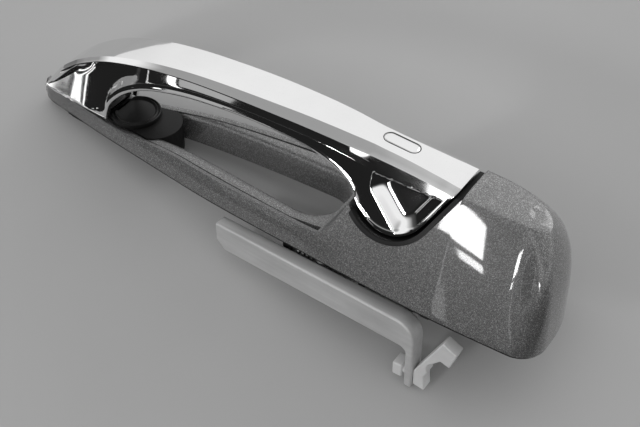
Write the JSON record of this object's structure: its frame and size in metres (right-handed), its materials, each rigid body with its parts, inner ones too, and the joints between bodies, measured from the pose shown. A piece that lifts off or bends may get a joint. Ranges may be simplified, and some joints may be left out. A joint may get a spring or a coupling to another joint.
{
  "type": "car door handle",
  "caption": "Outside car door handle: chrome pull strap hinged in a painted bezel with end cap, keyless button, and a bell-crank release lever with rod clip.",
  "frame": {"origin": "midway between the two door fixing holes, in the plane of the bezel's rim", "axes": "+X along the handle from the pivot tip to the end cap, +Z outwards from the door, -Y towards the release lever"},
  "size_m": [0.275, 0.065, 0.0961],
  "materials": {
    "paint": "gloss metallic flake",
    "seal_rubber": "matt",
    "black_plastic": "fine grain",
    "grey_plastic": "satin",
    "steel": "plated",
    "spring_steel": "drawn wire",
    "zinc": "as cast, scratched",
    "chrome": "polished",
    "nylon": "natural"
  },
  "bodies": {
    "base": {"bezel_cover": "paint", "socket_seal": "seal_rubber", "chassis_frame": "black_plastic", "door_gasket": "seal_rubber", "threaded_inserts": "steel", "bezel_screws": "steel", "pivot_pin": "steel", "pivot_boot": "seal_rubber", "tail_guide": "nylon", "crank_pin": "steel", "lever_spring": "spring_steel"},
    "strap": {"grip_shell": "chrome", "grip_back_cover": "grey_plastic", "grip_core": "black_plastic", "grip_screws": "steel", "pivot_lug": "zinc", "grip_tail": "zinc", "button_switch": "black_plastic", "button_seal": "seal_rubber"},
    "button": {"button_cap": "chrome"},
    "lever": {"crank_hub": "zinc", "release_bar": "zinc", "bar_rivets": "steel"},
    "clip": {"rod_clip": "nylon", "clip_retainer": "nylon"}
  },
  "joints": [
    {"name": "strap_pull", "type": "hinge", "parent": "base", "child": "strap", "pos_m": [-0.115, 0, 0.0036], "axis": [0, -1, 0], "range_deg": [0, 5], "stiffness_Nm_per_rad": 6, "springref_deg": -6.88},
    {"name": "lever_turn", "type": "hinge", "parent": "base", "child": "lever", "pos_m": [0, -0.017, -0.01], "axis": [1, 0, 0], "range_deg": [0, 34.5]},
    {"name": "button_press", "type": "slide", "parent": "strap", "child": "button", "axis": [0, 0, -1], "range_m": [0, 0.0008], "stiffness_N_per_m": 1500, "springref_m": -0.0006},
    {"name": "clip_swivel", "type": "hinge", "parent": "lever", "child": "clip", "pos_m": [0.085, -0.03, -0.0345], "axis": [1, 0, 0], "range_deg": [-30, 30]}
  ],
  "couplings": [
    {"joint": "lever_turn", "follows": "strap_pull", "ratio": 6.8}
  ]
}
